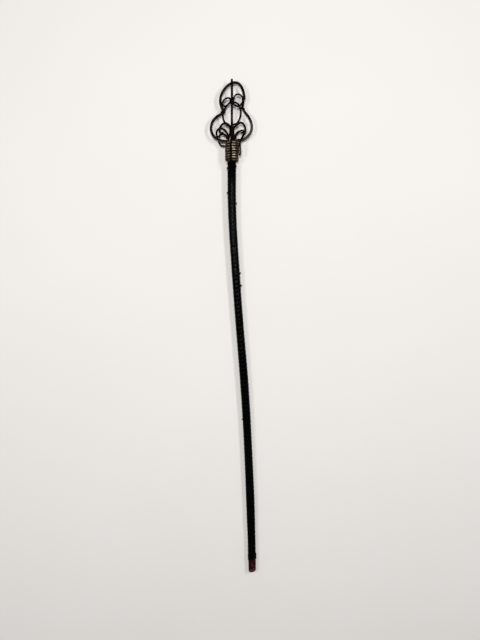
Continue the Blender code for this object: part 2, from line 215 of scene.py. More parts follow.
def smooth_path(points):
    """A cubic through the points; at each point it runs along the line between the two neighbours."""
    p = np.asarray(points, float)
    d = np.maximum(np.linalg.norm(np.diff(p, axis=0), axis=1), 1e-9) ** 0.5
    t = np.concatenate([[0], np.cumsum(d)])
    m = np.gradient(p, t, axis=0, edge_order=1)
    out = []
    for i in range(len(p) - 1):
        n = max(2, int(np.linalg.norm(p[i + 1] - p[i]) / PATH_STEP))
        u = np.linspace(0, 1, n, endpoint=False)[:, None]
        h = t[i + 1] - t[i]
        a = (2 * u ** 3 - 3 * u ** 2 + 1) * p[i] + (u ** 3 - 2 * u ** 2 + u) * h * m[i]
        b = (-2 * u ** 3 + 3 * u ** 2) * p[i + 1] + (u ** 3 - u ** 2) * h * m[i + 1]
        out.append(a + b)
    return np.concatenate(out + [p[-1:]])


# %% [markdown]
# ## A round section carried along a path
#
# The wire's surface is its centre line plus a circle at right angles to it.
# The circle's first direction is the cross product of the path's direction and one fixed direction
# that the path never points along, so the section doesn't twist and no loop over points is needed.
# The ends are quarter circles: the radius falls as the cosine of an angle and the distance as its sine.
# Slow waves in the radius keep it from looking like drawn plastic rod.

# %% Sweeping a circle along a path
X_WAY, Y_WAY, Z_WAY = np.eye(3)
END_ANGLES = np.radians([84, 62, 40, 20, 0])


def along(path, radius, step):
    """Distances along a path, closer in its round ends; the share of the radius and the place at each."""
    lengths = np.concatenate([[0], np.cumsum(np.linalg.norm(np.diff(path, axis=0), axis=1))])
    near = radius * (1 - np.sin(END_ANGLES))
    count = max(4, int((lengths[-1] - 2 * radius) / step))
    middle = np.linspace(radius, lengths[-1] - radius, count)[1:-1]
    s = np.concatenate([near, middle, lengths[-1] - near[::-1]])
    share = np.concatenate([np.cos(END_ANGLES), np.ones(len(middle)), np.cos(END_ANGLES[::-1])])
    where = np.stack([np.interp(s, lengths, path[:, k]) for k in range(3)], axis=1)
    return s, share, where


def unit(v):
    """Vectors scaled to length one."""
    return v / np.linalg.norm(v, axis=-1, keepdims=True)


def sweep(path, radius, sides, steady=Z_WAY):
    """Centre line plus radius times a circle: side = direction x steady, other = side x direction."""
    way = unit(np.gradient(path, axis=0))
    side = unit(np.cross(way, steady))
    other = np.cross(side, way)
    turn = np.arange(sides) * 2 * np.pi / sides
    circle = np.cos(turn)[None, :, None] * side[:, None] + np.sin(turn)[None, :, None] * other[:, None]
    radius = radius if radius.ndim == 2 else radius[:, None]
    return path[:, None] + radius[..., None] * circle


# %% A wire bent by hand
# A tapering wire grows thin from this share of its length on, over a second share
TAPER_FROM, TAPER_OVER = 0.64, 0.12


def ramp(value, length):
    """0 where the value is below 0, 1 where it is past the length, and a straight rise between."""
    return np.clip(value / length, 0, 1)


def wire(name, points, radius, taper=1.0, steady=Z_WAY, sides=16, step=0.9, phase=0.0, skin=SKIN):
    """A swept smooth path with a skin of scale, 3% of waves along it, 2% of oval round it, and a taper."""
    radius = radius + skin
    s, share, where = along(smooth_path(points), radius * 0.9, step)
    turn = np.arange(sides) * 2 * np.pi / sides
    waves = 1 + 0.020 * np.sin(s * 0.31 + phase) + 0.014 * np.sin(s * 0.83 + 2.1 * phase)
    oval = 0.018 * np.cos(2 * turn[None] + 0.05 * s[:, None] + phase)
    thinner = ramp(s / s[-1] - TAPER_FROM, TAPER_OVER)
    sizes = radius * (1 + (taper - 1) * thinner) * share * waves
    return build(name, sweep(where, sizes[:, None] * (1 + oval), sides, steady))


# %% [markdown]
# ## Shader maths as plain expressions
#
# A material is a network of small nodes. Writing it as sums and products is easier to read,
# so a small class wraps a socket and turns each operator into one Math node.
# Colours go through Mix nodes instead, because a Math node would turn a colour grey.

# %% Sockets that can be added and multiplied


class Value:
    """A number that varies over a surface; each operator on it adds one Math node."""

    def __init__(self, net, socket):
        self.net = net
        self.socket = socket

    def __add__(self, other):
        return self.net.math("ADD", self, other)

    def __sub__(self, other):
        return self.net.math("SUBTRACT", self, other)

    def __rsub__(self, other):
        return self.net.math("SUBTRACT", other, self)

    def __mul__(self, other):
        return self.net.math("MULTIPLY", self, other)

    __radd__ = __add__
    __rmul__ = __mul__

    def between(self, low, high):
        """0 below low, 1 above high and a smooth step from one to the other."""
        return self.net.node(
            "ShaderNodeMapRange", {"interpolation_type": "SMOOTHSTEP"},
            {"Value": self, "From Min": low, "From Max": high}, "Result")

    def inside(self, rise, fall):
        """1 between two limits: the smooth step over rise, times one minus the smooth step over fall."""
        return self.between(*rise) * (1 - self.between(*fall))


# %% A material and its nodes
# Places of a Mix node's factor, its two colours and the colour that comes out
MIX_FACTOR, MIX_FIRST, MIX_SECOND, MIX_RESULT = 0, 6, 7, 2


class Finish:
    """A material and the few ways in which its nodes are added."""

    def __init__(self, name):
        self.material = bpy.data.materials.new(name)
        self.material.use_nodes = True
        self.tree = self.material.node_tree
        self.shader = self.tree.nodes["Principled BSDF"]
        self.object_place = self.node("ShaderNodeTexCoord", {}, {}, "Object")

    def node(self, kind, settings, inputs, output):
        """Any node: its type, its settings, then the values or links of its sockets; returns one output."""
        made = self.tree.nodes.new(kind)
        for key, value in settings.items():
            setattr(made, key, value)
        for key, value in inputs.items():
            self.feed(made.inputs[key], value)
        return Value(self, made.outputs[output])

    def feed(self, socket, value):
        """Links a wrapped socket, or sets a plain number or colour."""
        if isinstance(value, Value):
            self.tree.links.new(value.socket, socket)
        else:
            socket.default_value = value

    def math(self, operation, a, b):
        """One Math node."""
        return self.node("ShaderNodeMath", {"operation": operation}, {0: a, 1: b}, 0)

    def scaled(self, place, factors):
        """A place multiplied axis by axis, which stretches the pattern that reads it."""
        return self.node("ShaderNodeVectorMath", {"operation": "MULTIPLY"}, {0: place, 1: factors}, 0)

    def noise(self, scale, detail, rough=0.55, stretch=None):
        """Smooth random lumps from 0 to 1, scale of them per metre; stretch is a factor for each axis."""
        place = self.scaled(self.object_place, stretch) if stretch else self.object_place
        return self.node(
            "ShaderNodeTexNoise", {},
            {"Vector": place, "Scale": scale, "Detail": detail, "Roughness": rough}, "Fac")

    def stored(self, name):
        """A number kept in the mesh for each point."""
        return self.node("ShaderNodeAttribute", {"attribute_name": name}, {}, "Fac")

    def blend(self, factor, first, second):
        """A colour between two colours."""
        colours = {MIX_FACTOR: factor, MIX_FIRST: first, MIX_SECOND: second}
        return self.node("ShaderNodeMix", {"data_type": "RGBA"}, colours, MIX_RESULT)

    def from_home(self, axis):
        """How far a point of the piece lies from the home point along X or Y, in metres."""
        place = self.node("ShaderNodeSeparateXYZ", {}, {0: self.object_place}, axis)
        return place - HOME["XY".index(axis)]

    def bump(self, height, depth):
        """Small relief: height runs from 0 to 1 and depth is its size in metres."""
        normal = self.node("ShaderNodeBump", {}, {"Height": height, "Distance": depth}, "Normal")
        self.feed(self.shader.inputs["Normal"], normal)

    def set(self, **values):
        """Sets or links the shader's own sockets; an underscore stands for a space."""
        for key, value in values.items():
            self.feed(self.shader.inputs[key.replace("_", " ")], value)
        return self.material


def shade(red, green, blue):
    """A colour as it is seen on a screen, 0 to 255, turned into the linear values a shader works with."""
    seen = np.array([red, green, blue]) / 255
    linear = np.where(seen <= 0.04045, seen / 12.92, ((seen + 0.055) / 1.055) ** 2.4)
    return (*linear.tolist(), 1.0)


# %% [markdown]
# ## Blackened iron
#
# The wires are iron that has been heated and oiled: nearly black, a little olive where the scale is thin,
# with brown rust in the pores and more of it near the collar, where the wires lie close together.
# The right lobe's rod carries a painted grey highlight along its lower half.
# Three sizes of noise do this: broad tone, patches of rust and fine pits for the relief.

# %% The finish of the head's wires


def blackened_iron(name, dark, light, near, painted_highlight):
    """Black to olive by noise, rust by patches; near adds rust at the collar; the last argument paints a
    highlight on the right lobe.
    """
    look = Finish(name)
    broad = look.noise(55.0, 3.0)
    patch = look.noise(240.0, 5.0, 0.65)
    pits = look.noise(1500.0, 4.0, 0.6)
    up = look.from_home("Y")
    side = look.from_home("X")
    tone = look.blend(broad.between(0.35, 0.68), dark, light)
    # Painted highlight: the lower half of the right lobe's rod is greyed in patches.
    low_right = side.between(0.026, 0.036) * (1 - up.between(0.036, 0.056))
    lower_right_highlight = low_right * (patch * 0.6 + pits * 0.4).between(0.36, 0.6)
    tone = look.blend(lower_right_highlight * painted_highlight, tone, shade(116, 108, 101))
    above_collar = up.inside((-0.004, 0.002), (0.006, 0.046))
    scroll_root = side.inside((0.003, 0.006), (0.016, 0.021)) * up.inside((0.030, 0.036), (0.048, 0.053))
    rust = (patch + above_collar * near + scroll_root * 0.17).between(0.60, 0.74)
    brown = look.blend(pits.between(0.3, 0.7), shade(34, 16, 10), shade(72, 42, 30))
    look.bump(patch * 0.5 + pits * 0.5, depth=0.00022)
    return look.set(
        Base_Color=look.blend(rust * 0.75, tone, brown),
        Metallic=0.14 - rust * 0.12,
        Roughness=0.56 + pits * 0.12 + rust * 0.2,
        Specular_IOR_Level=0.08,
        Specular_Tint=shade(120, 116, 108))


iron = blackened_iron("blackened_iron", shade(9, 7, 5), shade(44, 38, 30), near=0.06, painted_highlight=0.52)
thin_iron = blackened_iron("blackened_thin_iron", shade(6, 4, 3), shade(20, 15, 11), near=0.13, painted_highlight=0.0)
print("iron:", iron.name, thin_iron.name)

# %% [markdown]
# ## Brown binding wire
#
# The collar's wire is rusted an even brown. Handling has rubbed the crowns of the turns a little back to dull
# metal, and the grooves between them are darkened as painted shade. The mesh stores how far out each point
# stands on the wire, from 0 in the groove to 1 on the crown, and the colours follow that number and three
# noises.
# Most of the pale metal on the crowns is a painted highlight, placed across the staff: a bright strip on the
# front right of the dark bar and a fainter one on the left. A red streak runs on the right, and the ends are
# dark: less highlight there and painted shade on the front of the last turn.

# %% The finish of the collar


def binding_wire(name):
    """Painted shade in the groove, brown side, grey crown; strips across the staff place a painted highlight
    and the red.
    """
    look = Finish(name)
    crown = look.stored("crown")
    patch = look.noise(160.0, 4.0, 0.6)
    fine = look.noise(900.0, 5.0, 0.65)
    streak = look.noise(260.0, 3.0, 0.5, stretch=(1.0, 3.5, 1.0))
    side = look.from_home("X")
    up = look.from_home("Y")
    body = look.blend(patch.between(0.35, 0.65), shade(44, 28, 12), shade(86, 61, 33))
    red = side.inside((0.0068, 0.0082), (0.0098, 0.0112)) * streak.between(0.32, 0.55)
    body = look.blend(red * 0.75, body, shade(112, 58, 48))
    # Painted shade: the front of the last turn is darkened to near black.
    last_turn = (1 - up.between(-0.0440, -0.0425)) * side.inside((-0.011, -0.008), (0.008, 0.011))
    body = look.blend(last_turn * 0.8, body, shade(22, 13, 9))
    # Painted shade: the grooves between the turns are darkened to near black.
    groove_shade = 1 - (crown + (fine - 0.5) * 0.20).between(0.66, 0.94)
    # Painted highlight: a bright strip on the crowns right of the dark bar, a fainter one on the left, less
    # at both ends.
    front = side.inside((-0.0010, 0.0015), (0.0068, 0.0090))
    flank = side.inside((-0.0125, -0.0105), (-0.0065, -0.0045))
    but_ends = 1 - (1 - up.between(-0.0415, -0.0385)) * 0.85 - up.between(-0.0055, -0.0030) * 0.7
    painted_highlight = (front + flank * 0.24) * but_ends
    on_crown = (crown + (patch - 0.5) * 0.24 + (streak - 0.5) * 0.24).between(0.87, 1.00)
    # The crowns get a little dull metal all round, and the painted highlight in the strips.
    wear_and_highlight = on_crown * (0.06 + painted_highlight * 0.94)
    metal_and_highlight = look.blend(patch.between(0.4, 0.6), shade(198, 186, 164), shade(218, 202, 186))
    colour = look.blend(groove_shade, body, shade(10, 5, 2))
    look.bump(fine * 0.6 + patch * 0.4, depth=0.0003)
    return look.set(
        Base_Color=look.blend(wear_and_highlight * 0.92, colour, metal_and_highlight),
        Metallic=0.20 + wear_and_highlight * 0.5,
        Roughness=0.55 + fine * 0.16 - wear_and_highlight * 0.18,
        Specular_IOR_Level=0.14)


collar_finish = binding_wire("rusted_binding_wire")
print("collar:", collar_finish.name)

# %% [markdown]
# ## Black tape
#
# The tape is nearly black and only shows by its soft sheen. Dust sits on the open edges of the turns.
# Pulling it tight leaves fine lengthwise wrinkles, so one noise is stretched along the staff.
# It is duller just below the collar and on its last third, so the roughness rises there.

# %% The finish of the tape


def black_tape(name):
    """Near black with a broken sheen: roughness from noise and place, dust on the edges kept in the mesh."""
    look = Finish(name)
    edge = look.stored("edge")
    lift = look.stored("lift")
    up = look.from_home("Y")
    broad = look.noise(38.0, 3.0)
    grain = look.noise(1300.0, 4.0, 0.6)
    wrinkles = look.noise(420.0, 4.0, 0.6, stretch=(1.0, 0.12, 1.0))
    weave = look.noise(900.0, 2.0, 0.5, stretch=(1.0, 0.35, 1.0))
    dust = (edge * 0.8 + (grain - 0.5) * 0.9 + (broad - 0.5) * 0.8).between(0.45, 1.05)
    colour = look.blend(broad.between(0.3, 0.7), shade(1, 1, 2), shade(4, 4, 5))
    colour = look.blend(dust * 0.3, colour, shade(46, 43, 40))
    colour = look.blend(lift.between(0.3, 1.0) * 0.6, colour, shade(46, 35, 28))
    near_collar = up.between(-0.115, -0.075)
    far_down = 1 - up.between(-0.85, -0.68)
    look.bump(wrinkles * 0.6 + weave * 0.25 + grain * 0.15, depth=0.00018)
    return look.set(
        Base_Color=colour,
        Roughness=0.12 + wrinkles * 0.12 + dust * 0.2 + near_collar * 0.7 + far_down * 0.6,
        Specular_IOR_Level=0.032)


tape_finish = black_tape("black_tape_finish")
print("tape:", tape_finish.name)

# %% [markdown]
# ## Dark red wood
#
# The bare end of the pole is a dark red-brown hardwood with a little old varnish. The grain runs along it.
# The floor has worn its rim back to paler wood, a rubbed spot and a knot show near the rim,
# and one soft pale gleam higher up is a painted highlight. Its left side is painted nearly black, as painted
# shade.
# The mesh stores these places as numbers from 0 to 1, and the colours follow them.

# %% The finish of the wood


def red_wood(name):
    """Stretched noise for grain, a mottled varnish, then one blend for each place that the mesh stores."""
    look = Finish(name)
    wear = look.stored("wear")
    knot = look.stored("knot")
    sheen = look.stored("sheen")
    side = look.stored("side")
    grain = look.noise(1500.0, 4.0, 0.6, stretch=(1.0, 0.05, 1.0))
    pores = look.noise(3200.0, 3.0, 0.5, stretch=(1.0, 0.10, 1.0))
    broad = look.noise(130.0, 3.0, 0.5, stretch=(1.0, 0.4, 1.0))
    colour = look.blend(grain.between(0.3, 0.7), shade(16, 1, 1), shade(48, 6, 3))
    colour = look.blend(broad.between(0.50, 0.78) * 0.25, colour, shade(64, 25, 19))
    # Painted shade: the left side of the rod is darkened to near black.
    colour = look.blend((1 - side.between(0.10, 0.30)) * 0.8, colour, shade(8, 2, 1))
    # Painted highlight: a soft mauve gleam in the colour.
    colour = look.blend(sheen * 0.75, colour, shade(82, 58, 60))
    bare = (wear + (grain - 0.5) * 0.5 + (broad - 0.5) * 0.8).between(0.35, 0.80)
    colour = look.blend(bare * 0.85, colour, look.blend(grain, shade(70, 44, 20), shade(108, 72, 50)))
    colour = look.blend(knot.between(0.3, 0.8), colour, shade(26, 9, 7))
    look.bump(grain * 0.6 + pores * 0.4, depth=0.00035)
    return look.set(
        Base_Color=colour,
        Roughness=0.42 + broad * 0.15 + bare * 0.35,
        Specular_IOR_Level=0.07,
        Coat_Weight=0.03 - bare * 0.03,
        Coat_Roughness=0.25)


wood_finish = red_wood("dark_red_wood")
print("wood:", wood_finish.name)

# %% [markdown]
# ## Places in the head
#
# A wire's points are given as shares of the head's width and height, in percent, and lie in layers:
# the spine, curls and scrolls in front, the leaf and the small hooks behind them, the outer loop round the
# edge, and one long loop at the back. A third number says how far a point stands above its layer, in mm.
# Inside the collar each wire ends in a straight leg on a ring between the pole and the binding wire.

# %% Helpers for the head's wires


def in_layer(z, points):
    """Points (x, y) or (x, y, rise) to millimetres: shares of width and height, and z plus the rise."""
    shares = np.array([(x, y, z + sum(rise)) for x, y, *rise in points], float)
    return shares * np.array([HEAD_WIDTH / 100, HEAD_HEIGHT / 100, 1.0])


def leg(angle, lead=2.0):
    """The straight end of a wire inside the collar: x and z are the ring of legs times cosine and sine."""
    x = LEG_RING * math.cos(math.radians(angle))
    z = LEG_RING * math.sin(math.radians(angle))
    return np.array([[x, -lead, z], [x, -LEG_DEPTH, z]])


def over_the_edge(side, turned):
    """A loop wire's last bend, left or right: a point over the collar's top turn, then one inside it."""
    rise = COIL_PITCH * (0.5 - turned) + GAP + LOOP_R
    x = side * (COLLAR_R - COIL_R)
    mid = side * (LEG_RING + BORE_R) / 2
    return np.array([[x, rise + 0.2, 0.0], [mid, rise - LOOP_R * 0.55 - 0.1, 0.0]])


def head_wire(name, node, finish, points, radius, **shape):
    """Bends one wire of the head, gives it its finish and puts it in the place of its solid."""
    return finish_piece(wire(name, points, radius, **shape), finish, node)


# %% [markdown]
# ## The outer loop
#
# One 6 mm rod makes the left lobe, the waist and the pointed arch, and stops in a loose end on the right.
# A second rod starts behind that end and makes the right lobe. At the waist both dip behind the leaf.

# %% Two rods for the outline
LOOP_LEAD = 5.0
outer_points = in_layer(0.0, [
    (-23.8, 2.4), (-34.5, 5.2), (-44.7, 12.4), (-48.6, 21.0), (-45.5, 31.5), (-35.6, 40.2),
    (-25.0, 45.3, WAIST * 0.7), (-21.4, 48.4, WAIST), (-21.4, 52.0, WAIST), (-23.1, 56.0, WAIST),
    (-26.1, 60.8, WAIST * 0.5), (-26.4, 70.9), (-19.2, 82.5), (-7.8, 91.1), (2.7, 94.7), (14.3, 93.9),
    (23.7, 86.4), (28.2, 75.5), (29.0, 67.1)])
outer_path = np.concatenate([leg(180, LOOP_LEAD)[::-1], over_the_edge(-1, 0.75)[::-1], outer_points])
head_wire("outer_loop", "outer_loop_wire", iron, outer_path, LOOP_R, sides=20, skin=0.28)

right_points = in_layer(0.0, [
    (26.3, 71.1, WAIST - GAP), (26.5, 63.6, WAIST), (24.8, 55.4, WAIST), (30.4, 48.4, WAIST * 0.6),
    (40.7, 38.4), (46.2, 27.2), (44.7, 17.8), (36.9, 9.5), (25.5, 3.9)])
right_path = np.concatenate([right_points, over_the_edge(1, 0.25), leg(0, LOOP_LEAD)])
head_wire("right_lobe", "outer_loop_right_lower", iron, right_path, LOOP_R, sides=20, phase=1.3, skin=0.12)

# %% [markdown]
# ## The spine
#
# A straight wire stands in front of everything and pokes out above the arch. At its foot it hooks forward
# over the collar's edge and lies down the collar's front as a dark bar.
# Its path lies in one upright plane, so its section is steadied by the x direction instead of z.

# %% The spine and its hooked foot
bar_z = COLLAR_R + GAP + SPINE_R
spine_path = np.concatenate([
    in_layer(FRONT, [(0, 100), (0.2, 74), (0, 35)]),
    [(0, 10.0, FRONT), (0, 6.0, FRONT + 0.8), (-0.6, 3.6, FRONT + 4.3), (-1.4, 2.9, FRONT + 9.0),
     (-1.9, 1.2, bar_z - 1.2), (-2.0, -2.2, bar_z), (-2.0, -COLLAR_LENGTH - 1.0, bar_z)]])
head_wire("spine", "spine_wire", thin_iron, spine_path, SPINE_R, steady=X_WAY, phase=0.4, skin=0.42)

# %% [markdown]
# ## The leaf
#
# A thinner wire makes a pointed oval behind the spine. Both its ends meet at the spine and run down
# behind it into the collar.

# %% The leaf
leaf_path = np.concatenate([
    leg(268)[::-1],
    [(-0.8, 14.0, -2.8), (-1.6, 32.0, -2.6)],
    in_layer(MIDDLE, [
        (-4.6, 25.6), (-11.3, 27.2), (-17.2, 32.0), (-20.7, 39.6), (-20.6, 45.6), (-18.6, 49.6),
        (-16.4, 52.8), (-13.6, 56.1), (-10.2, 58.9), (-1.3, 63.1), (8.7, 62.9), (15.4, 59.8), (19.4, 54.9),
        (20.9, 48.6), (19.0, 39.3), (13.9, 31.7), (9.0, 29.0), (4.4, 28.1, -0.2)]),
    [(0.9, 40.6, MIDDLE - 1.4), (1.6, 33.0, -2.4), (2.6, 14.0, -2.8)],
    leg(298)])
head_wire("leaf", "leaf_wire", thin_iron, leaf_path, LEAF_R, phase=2.2, skin=0.30)

# %% [markdown]
# ## Curls and scrolls
#
# Two curls spring from the spine in front of the leaf's top. Below the leaf two larger scrolls open left
# and right, each with a small hook inside it, and a long thin loop hangs out on the left.
# The long right scroll runs on past its scroll and ends in a hairpin against the collar.
# The curls' ends are drawn in until they touch the spine, because the real ones are joined to it.

# %% The two upper curls
beside = (SPINE_R + GAP / 2 + CURL_R) / HEAD_WIDTH * 100
head_wire("curl_right", "upper_curl_right", thin_iron, in_layer(FRONT, [
    (beside - 1.2, 64.4), (beside - 1.2, 61.8), (6.0, 58.2), (10.6, 56.2), (16.0, 56.2), (22.4, 60.4),
    (25.0, 64.6), (25.2, 68.6), (22.6, 72.3), (19.0, 74.3), (14.0, 75.3), (9.0, 74.0), (6.0, 71.5),
    (beside + 0.1, 68.6), (beside - 0.9, 65.6), (beside - 1.1, 63.2)]), CURL_R, phase=0.9)
head_wire("curl_left", "upper_curl_left", thin_iron, in_layer(FRONT, [
    (-beside + 0.9, 62.4), (-beside + 0.8, 66.6), (-4.9, 68.9), (-8.4, 69.2), (-12.7, 68.7), (-17.7, 66.3),
    (-21.2, 62.6), (-22.2, 59.4), (-18.8, 56.8), (-15.2, 56.1), (-11.4, 57.6), (-7.0, 60.4),
    (-beside + 1.0, 63.0)]), CURL_R, phase=3.0, skin=0.35)

# %% The three wires on the lower left
arch_x = -(SPINE_R + GAP + ARCH_R) / HEAD_WIDTH * 100
arch_path = np.concatenate([leg(152)[::-1], in_layer(FRONT, [
    (arch_x - 3.6, 3.6, -2.2), (arch_x - 3.0, 7.4, -2.6), (arch_x + 0.1, 11.6, -3.4),
    (arch_x + 1.2, 16.0, -3.6), (arch_x + 1.1, 20.8, -3.4), (-5.6, 24.9, -1.4), (-9.9, 28.0, -0.2),
    (-15.8, 29.1), (-21.8, 27.5), (-25.8, 24.3), (-28.4, 20.7), (-28.9, 17.8), (-27.6, 14.9),
    (-24.0, 13.6, -0.3), (-18.6, 14.3, -0.5)])])
head_wire("arch_left", "lower_scroll_left_arch", thin_iron, arch_path, ARCH_R, phase=1.7, skin=0.42)

side_x = -(COLLAR_R + GAP) / HEAD_WIDTH * 100
side_path = np.concatenate([leg(224)[::-1], in_layer(BACK, [
    (-7.2, 2.6, -0.4), (-8.6, 8.0, -0.2), (-8.9, 12.6), (-14.6, 18.8), (-23.9, 23.1), (-32.3, 21.5),
    (-36.1, 15.9), (-33.9, 9.4), (-31.0, 2.7), (-27.6, -2.4, 0.6), (-23.0, -5.2, 1.4),
    (side_x + 1.8, -5.5, 2.0)])])
head_wire("loop_left", "lower_scroll_left_loop", thin_iron, side_path, SIDE_LOOP_R, phase=2.7, skin=0.35)

head_wire("hook_left", "lower_scroll_left_hook", thin_iron, in_layer(MIDDLE, [
    (-10.6, 4.4, 1.6), (-11.5, 7.3, 0.8), (-13.1, 9.7), (-16.3, 11.7), (-20.3, 12.7, -0.6),
    (-24.7, 12.4, -0.8), (-28.4, 10.6, -1.0), (-31.3, 7.8, -1.0)]), HOOK_R, phase=0.2, skin=0.35)

# %% The two wires on the lower right
PIN_CLEAR = 0.4
PIN_WIDTH = 4.1
PIN_Z = 7.0
pin_r = (SCROLL_R + SKIN) * PIN_TAPER
pin_in = math.sqrt((COLLAR_R + PIN_CLEAR + pin_r) ** 2 - PIN_Z ** 2)
pin_out = pin_in + PIN_WIDTH
scroll_x = (SPINE_R + GAP + SCROLL_R) / HEAD_WIDTH * 100
scroll_path = np.concatenate([
    leg(43)[::-1],
    in_layer(FRONT, [
        (scroll_x + 0.6, 6.5, -1.6), (scroll_x - 1.2, 12.0, -3.0), (scroll_x - 1.6, 18.0, -3.4),
        (4.8, 22.2, -1.8), (8.4, 24.8, -0.3), (12.8, 27.1), (17.0, 29.0), (21.3, 30.0), (25.8, 28.7),
        (29.5, 24.6), (31.5, 20.2), (30.2, 15.8), (27.6, 11.6), (25.0, 8.0, 0.6)]),
    [(22.2, 4.4, FRONT + 1.6), (20.0, -1.2, PIN_Z + 2.6), (20.0, -7.0, PIN_Z + 2.6),
     (20.9, -15.0, PIN_Z + 1.2), (pin_out, -25.5, PIN_Z + 0.2), (pin_out - 0.8, -30.6, PIN_Z),
     ((pin_in + pin_out) / 2 - 0.3, -33.0, PIN_Z), (pin_in + 0.6, -30.6, PIN_Z),
     (pin_in + 0.1, -25.0, PIN_Z), (pin_in, -14.0, PIN_Z), (pin_in, -3.0, PIN_Z)]])
head_wire("scroll_right", "lower_scroll_right", thin_iron, scroll_path, SCROLL_R,
          taper=PIN_TAPER, step=0.6, phase=1.1)

head_wire("hook_right", "lower_scroll_right_hook", thin_iron, in_layer(MIDDLE, [
    (9.8, 5.4, 0.2), (8.1, 9.0, -0.8), (9.6, 12.8, -0.9), (13.4, 15.6, -0.7), (18.5, 17.4, -0.5),
    (24.5, 18.6, -0.3), (28.4, 17.4, -0.3), (26.8, 15.4), (23.6, 14.6, 0.2), (19.6, 14.6, 0.2)]),
    HOOK_R, phase=2.4, skin=0.35)

# %% [markdown]
# ## The ties at the waist
#
# Thin wire is wound close round the leaf and the loop where they lie against each other, on each side.
# Pulled tight, it takes the shape of a belt round two bars. For every direction across the bars, the belt
# passes through the point of them that lies farthest out that way, so one maximum per direction gives it.
# Letting that point drift along the staff while the direction turns makes the belt a winding.

# %% Two small windings
TIE_CLEAR = 0.30
TIE_SIDES = 10
TIE_STEPS = 90
TIE_CLOSE = TIE_R * 0.8
outline_of = {-1: outer_path, 1: right_path}


def tie(name, middle_y, side, length, phase):
    """A belt: the farthest point per direction plus a clearance, drifting one wire's width each turn."""
    centres, sizes = [], []
    for points, radius in ((outline_of[side], LOOP_R), (leaf_path, LEAF_R)):
        path = smooth_path(points)
        near = (np.abs(path[:, 1] - middle_y) <= length / 2) & (path[:, 0] * side > 0)
        centres.append(path[near][:, [0, 2]])
        sizes.append(np.full(near.sum(), radius))
    centres, sizes = np.concatenate(centres), np.concatenate(sizes)
    turns = length / (2 * TIE_R) - 0.6
    t = np.linspace(-np.pi / 2, -np.pi / 2 + turns * 2 * np.pi, int(turns * TIE_STEPS))
    out = np.stack([np.cos(t), np.sin(t)], axis=1)
    best = (centres @ out.T + sizes[:, None]).argmax(0)
    clear = sizes[best] + TIE_CLEAR + TIE_CLOSE + 0.10 * np.sin(t * 1.7 + phase)
    belt = centres[best] + clear[:, None] * out
    drift = (t - t.mean()) / (2 * np.pi) * 2 * TIE_R + 0.15 * np.sin(t + phase)
    path = np.stack([belt[:, 0], middle_y + drift, belt[:, 1]], axis=1)
    _, share, where = along(path, TIE_CLOSE, 0.5)
    return build(name, sweep(where, TIE_R * share, TIE_SIDES, Y_WAY))


left_tie = tie("tie_left", HEAD_HEIGHT * 0.484, -1, TIE_LENGTH, 0.4)
finish_piece(left_tie, thin_iron, "waist_tie_left")
right_tie = tie("tie_right", HEAD_HEIGHT * 0.540, 1, TIE_LENGTH * 0.7, 1.9)
finish_piece(right_tie, thin_iron, "waist_tie_right")

# %% [markdown]
# ## The collar
#
# One thick wire is wound close round the legs of the head's wires and the top of the pole.
# Its centre line is a helix. Hand winding leaves each turn a little in or out, which a slow wave
# in the helix radius gives. The crown number is how far out a point of the wire stands.

# %% The helix of the binding wire
COIL_START = np.radians(-100)
COIL_STEPS = 110
COIL_TUCK = 0.1
COIL_STRETCH = 1.035
coil_ring = COLLAR_R - COIL_R
turned = np.linspace(0, COIL_TURNS, int(COIL_TURNS * COIL_STEPS))
round_angle = COIL_START + turned * 2 * np.pi
wobble = 0.16 * np.sin(turned * 2.3 + 0.4) + 0.10 * np.sin(turned * 7.1)
slack = 0.22 * np.sin(turned * 3.7 + 1.0)
helix_r = coil_ring - COIL_TUCK + wobble
coil_path = np.stack([
    helix_r * np.cos(round_angle),
    -COIL_R + COIL_PITCH * (0.5 - COIL_STRETCH * turned) + slack,
    helix_r * np.sin(round_angle)], axis=1)
print("turns of binding wire:", round(COIL_TURNS, 1))

# %% The wire round it
COIL_SIDES = 22
coil_s, coil_share, coil_where = along(coil_path, COIL_R * 0.8, 0.85)
coil_size = COIL_R * coil_share * (1 + 0.012 * np.sin(coil_s * 0.23))
coil_grid = sweep(coil_where, coil_size, COIL_SIDES, Y_WAY)
outward = np.linalg.norm(coil_grid[..., [0, 2]], axis=-1)
crown = (outward - (coil_ring - COIL_R)) / (2 * COIL_R)
collar = build("collar", coil_grid, {"crown": crown})
finish_piece(collar, collar_finish, "binding_wire_collar")

# %% [markdown]
# ## The pole's line
#
# Below the collar the pole is straight for a hand's width and then drifts 49 mm to one side along an S.
# It also comes down from the collar's height to its own at the foot, because both rest on the floor.

# %% Centre line and the two directions round it
# Small waves of the centre line: share of the taped length, millimetres sideways
BEND_WAVES = np.array([
    (0.0, 0.0), (0.10, 0.0), (0.14, -0.5), (0.19, -0.5), (0.31, -0.4), (0.36, -0.85), (0.44, -0.6),
    (0.49, -0.2), (0.53, 0.2), (0.61, 0.2), (0.66, -0.2), (0.72, -0.6), (0.79, -1.0), (0.86, -0.95),
    (0.91, -0.8), (0.95, -0.2), (1.0, -0.2)])
LINE_SHIFT = -0.2
COVER_LENGTH = COVER_TOP_Y - COVER_END_Y


def bend(y):
    """Sideways drift: a smooth step of the share of the way down to the power 0.8, plus small waves."""
    u = ramp(-y - COLLAR_LENGTH - BEND_START, POLE_LENGTH - BEND_START) ** BEND_POWER
    share = (COVER_TOP_Y - y) / COVER_LENGTH
    waves = sum(np.interp(share + k, BEND_WAVES[:, 0], BEND_WAVES[:, 1]) for k in (-0.02, 0, 0.02)) / 3
    return BEND_OFFSET * u * u * (3 - 2 * u) + waves + LINE_SHIFT


